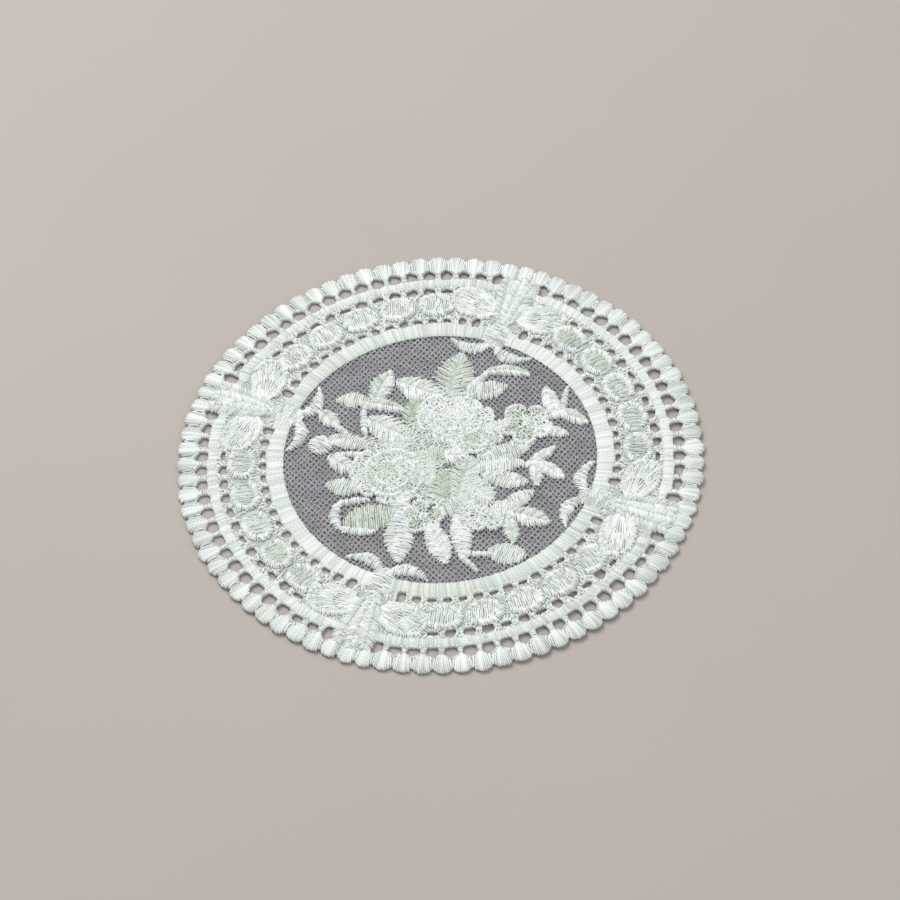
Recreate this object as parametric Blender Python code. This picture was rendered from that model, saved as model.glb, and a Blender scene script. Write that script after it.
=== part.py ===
"""Round lace doily lying flat: a tulle panel, an openwork border with bows, and a rose bouquet on the net.

The origin is under the centre of the doily, on the surface that it rests on, with +Z up.
"""

import math
import random
from collections import namedtuple

import bmesh
import bpy

MM = 0.001  # the sizes below are in millimetres, and meshes are in metres

# Radii of the concentric parts
TIP_R = 75.9  # tip of a scallop
NOTCH_R = 73.8  # notch between two scallops
NET_R = 45.1
BORDER_R = 45.4  # inner edge of the border, just outside the net
INNER_BAND = (45.9, 49.9)
OUTER_BAND = (64.3, 66.7)
BAND_POINTS = 60
SHELL_R = 57.0

# Heights above the table
NET_TOP = 1.0
STITCH_FOOT = 1.3  # underside of what is worked on the net, a little above it
GROUND_TOP = 1.1
GROUND_CORE = 0.5  # raised work on the border starts inside the ground
BAND_TOP = 1.4
SHELL_TOP = 1.55
FOLD_TOP = 1.85
RIM_TOP = 1.9
LOOP_TOP = 1.95
TAIL_TOP = 1.9
KNOT_TOP = 2.2

# The pattern repeats in four quarters, and each starts at the middle of a bow
QUARTERS = 4
BOW_DEG = 66.6
SCALLOPS_PER_QUARTER = 18
SCALLOPS_PER_BOW = 3

# heights are shares of the row's height, one for each eyelet of a quarter, from one bow to the next
EyeletRow = namedtuple("EyeletRow", "radius start width height heights")
EYELET_ROWS = (
    EyeletRow(radius=51.2, start=8.4, width=2.8, height=2.3,
              heights=(1.7, 1.2, 0.7, 0.9, 0.7, 1.1, 0.7, 1.1, 0.6, 1.2, 0.9, 0.7, 1.2, 0.8, 1.2, 1.8)),
    EyeletRow(radius=62.6, start=13.9, width=3.4, height=2.5,
              heights=(0.9, 0.6, 1.1, 1.0, 1.3, 0.8, 1.2, 0.6, 1.2, 0.8, 0.7, 1.3, 0.6, 0.9)),
    EyeletRow(radius=68.9, start=5.9, width=3.8, height=3.9,
              heights=(1.2, 0.7, 0.8, *[1.0] * 12, 0.9, 0.7, 0.6, 1.2)),
)
EYELET_SPREAD = 0.10  # how much each eyelet differs from its row's size, as a share
EYELET_LEAN = 0.3  # how far a peak may lie to one side, as a share of the width
OUTER_ROW = EYELET_ROWS[2]
QUARTER_DEG = 90
PUNCH = (-1.0, 4.0)  # the tool that cuts the eyelets reaches from below the doily to above it

SHELLS_PER_QUARTER = 5
SHELL_START = 21.6
SHELL_STEP = (QUARTER_DEG - 2 * SHELL_START) / (SHELLS_PER_QUARTER - 1)
SHELL_SIZE = (10.6, 8.2)
SHELL_CROWN = 0.8  # size of a shell's top, as a share of its foot
SHELL_RIM = (8.0, 2.0)  # the raised rim round the leading end of a shell
SHELL_RIM_AHEAD = 4.0  # degrees from the middle of a shell to its rim

# A pad is one raised patch of stitches. Its centre line may bend and its ends may be pointed.
Pad = namedtuple("Pad", "x y angle length width top point taper bend")

# A bow, seen with the border's outer edge up: x to the side, y outward from the doily's centre.
# The right-hand loop and tail are mirrored for the left.
BOW_LOOP = Pad(10.4, 57.0, 8, 14.6, 8.4, LOOP_TOP, 0.3, 0.20, 0.0)
BOW_FOLD = Pad(0.0, 61.8, 90, 20.0, 10.0, FOLD_TOP, 0.3, 0.30, 0.0)
BOW_KNOT = Pad(0.0, 47.6, 90, 10.4, 7.6, KNOT_TOP, 0.2, 0.0, 0.0)
BOW_TAIL = Pad(6.4, 43.2, -10, 11.0, 4.0, TAIL_TOP, 0.5, 0.0, -0.37)

Rose = namedtuple("Rose", "x y radius squash turn")
ROSES = (
    Rose(-14.6, -6.2, 12.2, 0.84, 12),
    Rose(4.2, 13.2, 11.6, 0.72, -8),
    Rose(10.6, 4.6, 7.4, 0.86, 30),
)
PETALS_PER_ROSE = 14
GOLDEN_DEG = 137.5  # the turn from one petal to the next, so that they never line up
PETAL_SPREAD = 0.62  # how far from the heart the first petals lie, as a share of the rose's radius
PETAL_SHRINK = 0.62  # how much smaller the petals get towards the heart
PETAL_CROWDING = 0.7  # below 1, the petals crowd towards the rim
PETAL_TAPER = 0.2  # how much wider a petal is at its tip
ROSE_PETAL = (0.82, 1.02)  # length and width of the first petal, as shares of the rose's radius
ROSE_RIM_TOP = 1.65
PETAL_STEP = 0.055  # each petal lies this much higher than the one before

COPLANAR_DEG = 0.2  # faces that meet at less than this are joined after a union
SHARP_DEG = 30

Flower = namedtuple("Flower", "x y radius petals turn")
FLOWERS = (
    Flower(-5.8, -21.8, 5.7, 5, 20),
    Flower(11.4, -21.6, 6.2, 5, 18),
    Flower(25.4, 9.8, 7.2, 5, 43),
)
FLOWER_PETAL = (0.94, 0.86)  # length and width, as shares of the flower's radius
FLOWER_PETAL_REACH = 0.56
FLOWER_PETAL_STEP = 0.02  # neighbouring petals differ in height
FLOWER_EYE = 0.5
PETAL_TOP = 1.85
EYE_TOP = 2.05

LEAF_TOP = 1.85
STEM_TOP = 1.7
BED_TOP = 1.6
LAYER_STEP = 0.015  # pads of one kind differ a little in height
LAYERS = 4
SPRAY = (
    # close stitching between the flowers, lower than they are
    Pad(-4.0, 4.2, 40, 36.0, 20.0, BED_TOP, 0.0, 0.0, 0.0),
    Pad(2.0, -12.0, -16, 27.0, 15.0, BED_TOP, 0.0, 0.0, 0.0),
    Pad(-15.0, 5.6, 4, 16.0, 7.6, BED_TOP, 0.0, 0.0, 0.0),
    Pad(3.4, 21.8, -4, 13.0, 5.0, BED_TOP, 0.0, 0.0, 0.0),
    # leaves along the top, from left to right
    Pad(-15.5, 27.0, 65, 13.5, 6.5, LEAF_TOP, 0.8, 0.0, 0.05),
    Pad(-24.0, 22.5, -5, 10.5, 5.0, LEAF_TOP, 0.8, 0.0, 0.1),
    Pad(-15.0, 19.5, -18, 12.0, 4.0, LEAF_TOP, 0.8, 0.0, 0.1),
    Pad(-20.0, 20.5, -20, 5.0, 2.5, STEM_TOP, 0.0, 0.0, 0.0),
    Pad(-4.5, 25.5, -28, 15.5, 8.0, LEAF_TOP, 0.7, 0.0, -0.05),
    Pad(6.0, 30.0, 75, 17.0, 11.0, LEAF_TOP, 0.8, -0.15, 0.0),
    Pad(21.0, 29.0, -8, 14.0, 3.5, LEAF_TOP, 0.7, 0.0, 0.2),
    Pad(14.5, 23.5, 8, 13.0, 6.5, LEAF_TOP, 0.5, 0.0, 0.0),
    Pad(12.4, 27.2, 42, 9.0, 2.0, STEM_TOP, 0.0, 0.0, 0.0),
    # petals and stems left of the top rose
    Pad(-21.0, 14.5, 90, 12.5, 1.8, STEM_TOP, 0.0, 0.0, 0.05),
    Pad(-14.0, 11.0, -36, 15.5, 8.5, LEAF_TOP, 0.4, 0.0, 0.0),
    Pad(-7.0, 17.5, 68, 10.5, 5.5, LEAF_TOP, 0.3, 0.0, 0.0),
    Pad(-3.0, 1.0, 10, 8.5, 5.0, LEAF_TOP, 0.4, 0.0, 0.0),
    # leaves and stems at the left
    Pad(-26.0, 7.8, -15, 12.0, 5.2, LEAF_TOP, 0.6, 0.0, 0.0),
    Pad(-34.5, 6.8, 70, 7.0, 6.2, LEAF_TOP, 0.2, 0.0, 0.0),
    Pad(-30.5, 7.5, 0, 6.0, 1.8, STEM_TOP, 0.0, 0.0, 0.0),
    Pad(-31.5, 16.5, -50, 8.5, 4.8, LEAF_TOP, 0.7, 0.0, 0.0),
    Pad(-28.0, 12.0, -48, 7.0, 1.8, STEM_TOP, 0.0, 0.0, 0.0),
    Pad(-28.5, -0.4, -42, 9.5, 5.4, LEAF_TOP, 0.7, 0.1, 0.0),
    Pad(-25.0, 2.8, -5, 11.0, 1.4, STEM_TOP, 0.0, 0.0, 0.0),
    Pad(-28.0, -8.8, -12, 10.5, 6.0, LEAF_TOP, 0.6, 0.0, 0.0),
    # curled leaf at the lower left
    Pad(-21.0, -20.5, 10, 15.5, 8.8, LEAF_TOP, 0.3, 0.0, 0.0),
    Pad(-28.5, -19.5, 92, 12.0, 2.6, LEAF_TOP, 0.2, 0.0, 0.4),
    Pad(-24.5, -24.5, -12, 10.5, 2.2, LEAF_TOP, 0.2, 0.0, -0.12),
    Pad(-26.0, -15.0, 8, 11.0, 1.8, LEAF_TOP, 0.3, 0.0, 0.14),
    # leaves along the bottom
    Pad(-13.0, -27.8, 87, 19.0, 7.6, LEAF_TOP, 0.7, 0.0, 0.0),
    Pad(-12.0, -17.0, 90, 8.0, 5.5, STEM_TOP, 0.2, 0.0, 0.0),
    Pad(-2.0, -31.2, 106, 15.5, 6.6, LEAF_TOP, 0.7, 0.0, 0.0),
    Pad(4.6, -28.0, 91, 18.0, 5.8, LEAF_TOP, 0.7, 0.0, 0.0),
    Pad(2.5, -18.5, 30, 12.0, 4.8, LEAF_TOP, 0.3, 0.0, 0.0),
    Pad(7.5, -35.5, -5, 7.0, 1.5, STEM_TOP, 0.0, 0.0, 0.0),
    Pad(17.2, -36.2, -12, 11.0, 7.0, LEAF_TOP, 0.4, 0.0, 0.0),
    Pad(11.5, -36.0, -8, 5.0, 1.5, STEM_TOP, 0.0, 0.0, 0.0),
    Pad(6.0, -38.5, -54, 8.5, 1.6, STEM_TOP, 0.0, 0.0, 0.0),
    # leaves at the lower right
    Pad(18.8, -28.0, 96, 10.0, 4.0, LEAF_TOP, 0.7, 0.0, 0.0),
    Pad(24.2, -24.0, -22, 13.0, 6.0, LEAF_TOP, 0.7, 0.0, 0.05),
    Pad(21.3, -17.4, 30, 11.5, 4.8, LEAF_TOP, 0.7, 0.0, 0.0),
    Pad(16.8, -20.8, 10, 7.0, 6.0, LEAF_TOP, 0.2, 0.0, 0.0),
    Pad(6.4, -8.6, 74, 17.0, 8.4, LEAF_TOP, 0.3, 0.0, 0.0),
    Pad(0.4, -10.6, 84, 11.0, 6.8, LEAF_TOP, 0.4, 0.0, 0.0),
    Pad(18.0, -9.6, -16, 14.0, 5.6, LEAF_TOP, 0.6, 0.0, 0.0),
    Pad(10.8, -13.2, -52, 10.5, 6.4, LEAF_TOP, 0.4, 0.0, 0.0),
    # leaves and stems at the right
    Pad(18.6, 0.0, 22, 20.0, 6.5, LEAF_TOP, 0.7, -0.1, 0.0),
    Pad(16.5, -4.6, 5, 15.0, 4.8, STEM_TOP, 0.3, 0.0, 0.0),
    Pad(29.0, -2.4, 36, 11.0, 3.4, LEAF_TOP, 0.7, 0.0, 0.0),
    Pad(27.2, -8.6, 90, 9.0, 3.5, LEAF_TOP, 0.7, 0.0, 0.0),
    Pad(31.6, -7.6, -45, 9.2, 4.0, LEAF_TOP, 0.7, 0.0, 0.0),
    Pad(26.5, -4.8, 0, 8.5, 2.0, STEM_TOP, 0.0, 0.0, 0.0),
    Pad(17.0, 9.6, 15, 9.0, 4.2, LEAF_TOP, 0.3, 0.0, 0.0),
    # sprig beside the right flower
    Pad(33.2, 17.2, -77, 12.5, 4.6, LEAF_TOP, 0.7, 0.0, 0.0),
    Pad(37.2, 17.0, 79, 12.0, 1.6, STEM_TOP, 0.0, 0.0, 0.05),
    Pad(39.0, 11.6, -34, 10.0, 4.2, LEAF_TOP, 0.7, 0.0, 0.0),
    Pad(34.0, 12.5, 18, 10.0, 2.0, STEM_TOP, 0.0, 0.0, 0.0),
    Pad(33.6, 6.3, -20, 8.5, 3.4, LEAF_TOP, 0.6, 0.0, 0.05),
    # bud between the roses
    Pad(4.4, -0.3, 0, 6.4, 6.0, KNOT_TOP, 0.0, 0.0, 0.0),
)

PAD_SIDES = 10
NARROW_SIDES = 8
NARROW = 3.0  # a pad narrower than this gets fewer sides

FINISHES = {
    "tulle": ((0.62, 0.61, 0.64, 1.0), 0.75),
    "embroidery": ((0.84, 0.87, 0.84, 1.0), 0.65),
}


def polar(radius, degrees):
    """Point at a radius and an angle counter-clockwise from +X."""
    turn = math.radians(degrees)
    return radius * math.cos(turn), radius * math.sin(turn)


def bow_at(quarter):
    """Angle of a quarter's bow."""
    return BOW_DEG + QUARTER_DEG * quarter


def circle(radius, points=72):
    return [polar(radius, 360 * i / points) for i in range(points)]


def new_collection(name):
    group = bpy.data.collections.new(name)
    bpy.context.scene.collection.children.link(group)
    return group


def finish_material(name):
    """Matte thread, as a Principled BSDF."""
    colour, roughness = FINISHES[name]
    material = bpy.data.materials.new(name)
    material.use_nodes = True
    shader = material.node_tree.nodes["Principled BSDF"]
    shader.inputs["Base Color"].default_value = colour
    shader.inputs["Roughness"].default_value = roughness
    shader.inputs["Metallic"].default_value = 0.0
    return material


def flat_mesh(name, outlines, bottom, top):
    """Mesh of closed outlines filled as one flat piece with its holes, between two heights."""
    curve = bpy.data.curves.new(name, "CURVE")
    curve.dimensions = "2D"
    curve.fill_mode = "BOTH"
    curve.extrude = (top - bottom) / 2 * MM
    for outline in outlines:
        spline = curve.splines.new("POLY")
        spline.points.add(len(outline) - 1)
        for point, (x, y) in zip(spline.points, outline):
            point.co = (x * MM, y * MM, 0, 1)
        spline.use_cyclic_u = True
    carrier = bpy.data.objects.new(name, curve)
    bpy.context.scene.collection.objects.link(carrier)
    evaluated = carrier.evaluated_get(bpy.context.evaluated_depsgraph_get())
    mesh = bpy.data.meshes.new_from_object(evaluated)
    bpy.data.objects.remove(carrier)
    bpy.data.curves.remove(curve)
    bm = bmesh.new()
    bm.from_mesh(mesh)
    bmesh.ops.remove_doubles(bm, verts=bm.verts, dist=0.00001)
    bmesh.ops.translate(bm, verts=bm.verts, vec=(0, 0, (top + bottom) / 2 * MM))
    bmesh.ops.recalc_face_normals(bm, faces=bm.faces)
    bm.to_mesh(mesh)
    bm.free()
    return mesh


def pad_mesh(bm, pad, foot, sides=PAD_SIDES, crown=0.7):
    """Add one pad of stitches: a low, bevelled patch from its foot up to its top."""
    cone = bmesh.ops.create_cone(bm, cap_ends=True, segments=sides, radius1=1.0, radius2=crown, depth=1.0)
    turn = math.radians(pad.angle)
    for vert in cone["verts"]:
        along, across, rise = vert.co
        across *= (1 - pad.point + pad.point * max(0.0, 1 - along * along) ** 0.5)
        across *= 1 + pad.taper * along
        across = across * pad.width / 2 + pad.bend * (1 - along * along) * pad.length / 2
        along *= pad.length / 2
        x = pad.x + along * math.cos(turn) - across * math.sin(turn)
        y = pad.y + along * math.sin(turn) + across * math.cos(turn)
        z = foot + (rise + 0.5) * (pad.top - foot)
        vert.co = (x * MM, y * MM, z * MM)


def pad_object(name, pad, foot, group, **shape):
    mesh = bpy.data.meshes.new(name)
    bm = bmesh.new()
    pad_mesh(bm, pad, foot, **shape)
    bm.to_mesh(mesh)
    bm.free()
    return add_object(name, mesh, group)


def add_object(name, mesh, group):
    thing = bpy.data.objects.new(name, mesh)
    group.objects.link(thing)
    return thing


def combine(base, helpers, operation):
    """Apply one exact Boolean of the base with every helper shape, and remove the helpers."""
    joint = base.modifiers.new("stitches", "BOOLEAN")
    joint.operation = operation
    joint.solver = "EXACT"
    joint.operand_type = "COLLECTION"
    joint.collection = helpers
    evaluated = base.evaluated_get(bpy.context.evaluated_depsgraph_get())
    mesh = bpy.data.meshes.new_from_object(evaluated)
    base.modifiers.clear()
    base.data = mesh
    for helper in list(helpers.objects):
        bpy.data.objects.remove(helper)


def settle(thing, material):
    """Join the coplanar faces that the unions split, and give the piece its material."""
    bm = bmesh.new()
    bm.from_mesh(thing.data)
    bmesh.ops.dissolve_limit(bm, angle_limit=math.radians(COPLANAR_DEG), verts=bm.verts, edges=bm.edges)
    bmesh.ops.triangulate(bm, faces=bm.faces)
    bm.to_mesh(thing.data)
    bm.free()
    thing.data.materials.clear()
    thing.data.materials.append(material)
    thing.data.shade_smooth()
    thing.data.set_sharp_from_angle(angle=math.radians(SHARP_DEG))


# --- the border ---------------------------------------------------------------------------------

LOBE = ((-1.0, 0.0), (-0.62, 0.72), (0.05, 1.0), (0.66, 0.78))  # across, and rise from notch to tip


def scallops():
    """Centre and half width, in degrees, of each scallop of the edge."""
    for quarter in range(QUARTERS):
        start = bow_at(quarter)
        side = OUTER_ROW.start / SCALLOPS_PER_BOW
        for i in range(SCALLOPS_PER_BOW):
            yield start - OUTER_ROW.start + side * (2 * i + 1), side
        half = spacing(OUTER_ROW) / 2
        for i in range(SCALLOPS_PER_QUARTER):
            yield start + OUTER_ROW.start + half * (2 * i + 1), half


def scalloped_edge():
    points = []
    for centre, half in scallops():
        for across, rise in LOBE:
            points.append(polar(NOTCH_R + rise * (TIP_R - NOTCH_R), centre + across * half))
    return points


def spacing(row):
    """Degrees between two eyelets of a row, which starts and ends at the same distance from a bow."""
    return (QUARTER_DEG - 2 * row.start) / (len(row.heights) - 1)


def eyelet(radius, degrees, width, height, lean):
    """Five-sided eyelet: a flat foot on the inner side and a leaning peak on the outer side."""
    corners = ((-0.42, -0.5), (0.42, -0.5), (0.5, 0.12), (lean, 0.5), (-0.5, 0.12))
    return [polar(radius + height * v, degrees - math.degrees(width * u / radius)) for u, v in corners]


def eyelets():
    """Every eyelet of the three rows, a little uneven."""
    chance = random.Random(7)
    for row in EYELET_ROWS:
        for quarter in range(QUARTERS):
            for i, share in enumerate(row.heights):
                degrees = bow_at(quarter) + row.start + spacing(row) * i
                width = row.width * (1 + EYELET_SPREAD * chance.uniform(-1, 1))
                height = row.height * share * (1 + EYELET_SPREAD * chance.uniform(-1, 1))
                yield eyelet(row.radius, degrees, width, height, EYELET_LEAN * chance.uniform(-1, 1))


def on_bow(pad, bow_degrees):
    """A pad drawn beside an upright bow, turned to its place on the border."""
    turn = bow_degrees - 90
    x = pad.x * math.cos(math.radians(turn)) - pad.y * math.sin(math.radians(turn))
    y = pad.x * math.sin(math.radians(turn)) + pad.y * math.cos(math.radians(turn))
    return pad._replace(x=x, y=y, angle=pad.angle + turn)


def mirrored(pad):
    return pad._replace(x=-pad.x, angle=180 - pad.angle, bend=-pad.bend)


def shells(quarter, helpers):
    """Oval shells in a chain, each with a raised rim round its leading end."""
    for i in range(SHELLS_PER_QUARTER):
        degrees = bow_at(quarter) + SHELL_START + SHELL_STEP * i
        oval = Pad(*polar(SHELL_R, degrees), degrees + 90, *SHELL_SIZE, SHELL_TOP,
                   point=0.0, taper=0.0, bend=0.0)
        pad_object("shell", oval, GROUND_CORE, helpers, crown=SHELL_CROWN)
        ahead = degrees + SHELL_RIM_AHEAD
        rim = Pad(*polar(SHELL_R, ahead), ahead, *SHELL_RIM, RIM_TOP, point=0.4, taper=0.0, bend=0.22)
        pad_object("rim", rim, GROUND_CORE, helpers, sides=NARROW_SIDES)


def bow(quarter, helpers):
    """Ribbon bow: two loops and a fold on the border, a knot and two tails that reach over the net."""
    degrees = bow_at(quarter)
    for pad in (BOW_FOLD, BOW_LOOP, mirrored(BOW_LOOP)):
        pad_object("bow", on_bow(pad, degrees), GROUND_CORE, helpers)
    for pad in (BOW_KNOT, BOW_TAIL, mirrored(BOW_TAIL)):
        pad_object("bow", on_bow(pad, degrees), STITCH_FOOT, helpers)


def make_border(group, helpers, material):
    """A ring with raised bands, shells and bows, and then every eyelet punched through all of it."""
    ring = flat_mesh("lace_border", [scalloped_edge(), circle(BORDER_R)], 0, GROUND_TOP)
    border = add_object("lace_border", ring, group)
    for inner, outer in (INNER_BAND, OUTER_BAND):
        edges = [circle(radius, BAND_POINTS) for radius in (outer, inner)]
        add_object("band", flat_mesh("band", edges, GROUND_CORE, BAND_TOP), helpers)
    for quarter in range(QUARTERS):
        shells(quarter, helpers)
        bow(quarter, helpers)
    combine(border, helpers, "UNION")
    add_object("punch", flat_mesh("punch", list(eyelets()), *PUNCH), helpers)
    combine(border, helpers, "DIFFERENCE")
    settle(border, material)


# --- the net and the bouquet --------------------------------------------------------------------


def make_net(group, material):
    net = add_object("tulle_net", flat_mesh("tulle_net", [circle(NET_R)], 0, NET_TOP), group)
    settle(net, material)


def rose_pads(rose):
    """Petals of one rose from its rim to its heart, each higher and smaller than the one before."""
    for i in range(PETALS_PER_ROSE):
        inward = i / PETALS_PER_ROSE
        turn = rose.turn + GOLDEN_DEG * i
        reach = PETAL_SPREAD * rose.radius * (1 - inward) ** PETAL_CROWDING
        x = rose.x + reach * math.cos(math.radians(turn))
        y = rose.y + reach * math.sin(math.radians(turn)) * rose.squash
        length, width = (share * rose.radius * (1 - PETAL_SHRINK * inward) for share in ROSE_PETAL)
        top = ROSE_RIM_TOP + PETAL_STEP * i
        yield Pad(x, y, turn, length, width, top, point=0.0, taper=PETAL_TAPER, bend=0.0)


def flower_pads(flower):
    """Open flower: a ring of petals round its eye."""
    length, width = (share * flower.radius for share in FLOWER_PETAL)
    for i in range(flower.petals):
        turn = flower.turn + 360 * i / flower.petals
        x, y = polar(FLOWER_PETAL_REACH * flower.radius, turn)
        top = PETAL_TOP + FLOWER_PETAL_STEP * (i % 2)
        yield Pad(flower.x + x, flower.y + y, turn, length, width, top,
                  point=0.0, taper=PETAL_TAPER, bend=0.0)
    eye = FLOWER_EYE * flower.radius
    yield Pad(flower.x, flower.y, 0, eye, eye, EYE_TOP, point=0.0, taper=0.0, bend=0.0)


def bouquet_pads():
    for rose in ROSES:
        yield from rose_pads(rose)
    for flower in FLOWERS:
        yield from flower_pads(flower)
    for i, pad in enumerate(SPRAY):
        yield pad._replace(top=pad.top + LAYER_STEP * (i % LAYERS))


def make_bouquet(group, helpers, material):
    pads = list(bouquet_pads())
    bouquet = pad_object("rose_bouquet", pads[0], STITCH_FOOT, group)
    for pad in pads[1:]:
        sides = NARROW_SIDES if pad.width < NARROW else PAD_SIDES
        pad_object("stitches", pad, STITCH_FOOT, helpers, sides=sides)
    combine(bouquet, helpers, "UNION")
    settle(bouquet, material)


def main():
    for thing in list(bpy.data.objects):
        bpy.data.objects.remove(thing)
    doily = new_collection("lace doily")
    helpers = new_collection("helpers")
    tulle = finish_material("tulle")
    embroidery = finish_material("embroidery")
    make_net(doily, tulle)
    make_border(doily, helpers, embroidery)
    make_bouquet(doily, helpers, embroidery)
    bpy.context.scene.collection.children.unlink(helpers)
    bpy.data.collections.remove(helpers)


main()
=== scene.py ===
# %% [markdown]
# # A lace doily, stitch by stitch
# The real thing is made by an embroidery machine on a round of fine net. Round the net
# runs a border so dense with stitches that no net shows in it, pierced by three rows of
# eyelets and closed by a scalloped edge. A bouquet is worked on the net itself.
#
# A flat disc with a lace picture on it would look right from straight above and wrong
# from everywhere else. Here every satin stitch is a small arched thread, so light runs
# over the patches as it does over real embroidery. The doily's sizes are in millimetres.

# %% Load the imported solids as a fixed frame
import math
import random
from collections import namedtuple
from functools import partial

import bmesh
import bpy
from mathutils import Matrix, Vector


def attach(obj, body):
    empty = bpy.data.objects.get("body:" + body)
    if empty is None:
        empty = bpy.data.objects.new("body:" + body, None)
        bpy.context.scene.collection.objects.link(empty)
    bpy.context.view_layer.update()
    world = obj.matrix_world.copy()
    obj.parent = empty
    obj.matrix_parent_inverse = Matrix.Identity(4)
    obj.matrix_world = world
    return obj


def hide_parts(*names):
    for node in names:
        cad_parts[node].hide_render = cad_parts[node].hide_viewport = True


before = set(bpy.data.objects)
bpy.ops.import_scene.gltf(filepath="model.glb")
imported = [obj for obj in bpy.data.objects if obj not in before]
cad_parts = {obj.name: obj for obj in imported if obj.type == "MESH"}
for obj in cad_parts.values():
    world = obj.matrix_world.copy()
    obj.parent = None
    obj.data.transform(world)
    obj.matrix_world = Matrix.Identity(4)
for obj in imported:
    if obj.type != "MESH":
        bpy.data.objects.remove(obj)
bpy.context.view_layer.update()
MM = 0.001
print("nodes:", sorted(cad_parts))

# %% [markdown]
# ## The pattern's sizes
# A machine repeats its card, so the pattern is written down once and turned into four
# quarters. Each quarter starts at the middle of a bow. These are the values that the
# solids were cut from, and the pieces below stand on the same circles.

# %% Circles, heights and eyelets of the border
TIP_R = 75.9
NOTCH_R = 73.8
NET_R = 46.0
BORDER_R = 45.4  # less than the net's radius, since the net runs under the border
INNER_BAND = (45.2, 49.9)
OUTER_BAND = (64.2, 67.1)
SHELL_R = 57.0
BOW_DEG = 66.6
QUARTER_DEG = 90
BOWS = [BOW_DEG + QUARTER_DEG * quarter for quarter in range(4)]
SCALLOPS_PER_QUARTER = 18
SCALLOPS_PER_BOW = 3

GROUND = (0.08, 0.80)  # underside and top of the border's ground
FOOT = 0.60  # where a stitch on the border starts, inside its ground
NET_Z = 0.55  # middle of the net's threads
NET_FOOT = 0.62  # where a stitch on the net starts
BAND_TOP = 1.02
SHELL_TOP = 1.26
LOOP_TOP = 1.34
LEAF_TOP = 1.50
STEM_TOP = 1.35
BED_TOP = 1.15
EDGE_LIFT = 0.30  # how far the doily's edge stands off the table, on average

EyeletRow = namedtuple("EyeletRow", "radius start width height heights")
EYELET_ROWS = (
    EyeletRow(radius=51.2, start=8.4, width=2.8, height=2.3,
              heights=(1.7, 1.2, 0.7, 0.9, 0.7, 1.1, 0.7, 1.1, 0.6, 1.2, 0.9, 0.7, 1.2, 0.8, 1.2, 1.8)),
    EyeletRow(radius=62.6, start=13.9, width=3.4, height=2.5,
              heights=(0.9, 0.6, 1.1, 1.0, 1.3, 0.8, 1.2, 0.6, 1.2, 0.8, 0.7, 1.3, 0.6, 0.9)),
    EyeletRow(radius=68.9, start=5.9, width=3.8, height=3.9,
              heights=(1.2, 0.7, 0.8, *[1.0] * 12, 0.9, 0.7, 0.6, 1.2)),
)
OUTER_ROW = EYELET_ROWS[-1]
EYELET_SPREAD = 0.10
EYELET_LEAN = 0.3
chance = random.Random(23)  # every small irregularity but the eyelets' is drawn from this
print("eyelets in a quarter:", [len(row.heights) for row in EYELET_ROWS])


# %% Helpers for places
def jitter(size):
    """A small amount to one side or the other."""
    return chance.uniform(-size, size)


def rotated(x, y, degrees):
    turn = math.radians(degrees)
    return x * math.cos(turn) - y * math.sin(turn), x * math.sin(turn) + y * math.cos(turn)


def polar(radius, degrees):
    return rotated(radius, 0.0, degrees)


def between(start, end, share):
    """The place at a share of the way from start to end."""
    return tuple(a + (b - a) * share for a, b in zip(start, end))


def spacing(row):
    """Degrees between two eyelets of a row, which starts and ends at the same distance from a bow."""
    return (QUARTER_DEG - 2 * row.start) / (len(row.heights) - 1)


def lift(x, y):
    """How far the cloth stands off the table here: the edge is never quite flat."""
    reach = math.hypot(x, y) / TIP_R
    turn = math.atan2(y, x)
    return EDGE_LIFT * reach ** 3 * (1 + math.sin(3 * turn + 1.1) * math.cos(2 * turn - 0.4))


def put(name, data):
    """An object at the origin, in the scene."""
    piece = bpy.data.objects.new(name, data)
    bpy.context.scene.collection.objects.link(piece)
    return piece


# %% [markdown]
# ## One rayon thread in two tones
# Machine embroidery is sewn with rayon. It is extruded as a bright filament and twisted
# in two plies, which gives it a soft sheen and, from close by, fine slanting lines. The
# doily uses two cones of it, one bleached white and one a pale sage. One material does
# for both: each stitch carries a tint from 0, white, to 1, sage, and a shade of its own.
#
# The twist is drawn by a helix, as a bump and as painted shade in the grooves between the plies. `run` is
# how far a point lies along its stitch and
# `girth` is its direction round the thread. Both are stored by the node tree that makes
# the threads, so the lines follow each stitch.

# %% Helpers for nodes and colours
def hex_colour(code):
    """sRGB hex to the linear values that a shader works in."""
    parts = [int(code[i:i + 2], 16) / 255 for i in (1, 3, 5)]
    return [c / 12.92 if c <= 0.04045 else ((c + 0.055) / 1.055) ** 2.4 for c in parts] + [1.0]


def set_inputs(node, sources):
    """Give inputs of a node a value or a link each. A node as a source stands for its first output."""
    for socket, source in sources.items():
        if isinstance(source, bpy.types.Node):
            source = source.outputs[0]
        if isinstance(source, bpy.types.NodeSocket):
            node.id_data.links.new(source, node.inputs[socket])
        else:
            node.inputs[socket].default_value = source


def add_node(tree, kind, sources=None, **settings):
    node = tree.nodes.new(kind)
    for name, value in settings.items():
        setattr(node, name, value)
    set_inputs(node, sources or {})
    return node


def new_finish(name, constants):
    """A material, what adds nodes to it, and its shader with constants on the shader's own sockets."""
    material = bpy.data.materials.new(name)
    material.use_nodes = True
    shader = material.node_tree.nodes["Principled BSDF"]
    set_inputs(shader, constants)
    return material, partial(add_node, material.node_tree), shader


# %% Rayon embroidery thread: bright filament with a two-ply twist
WHITE_THREAD = "#f0f4f0"
SAGE_THREAD = "#c4cfbd"
TWIST_MM = 1.1  # one turn of the plies; about twice the real one, so that it shows
DYE_MM = 11.111  # the dye is a little uneven, over patches of this size


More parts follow.
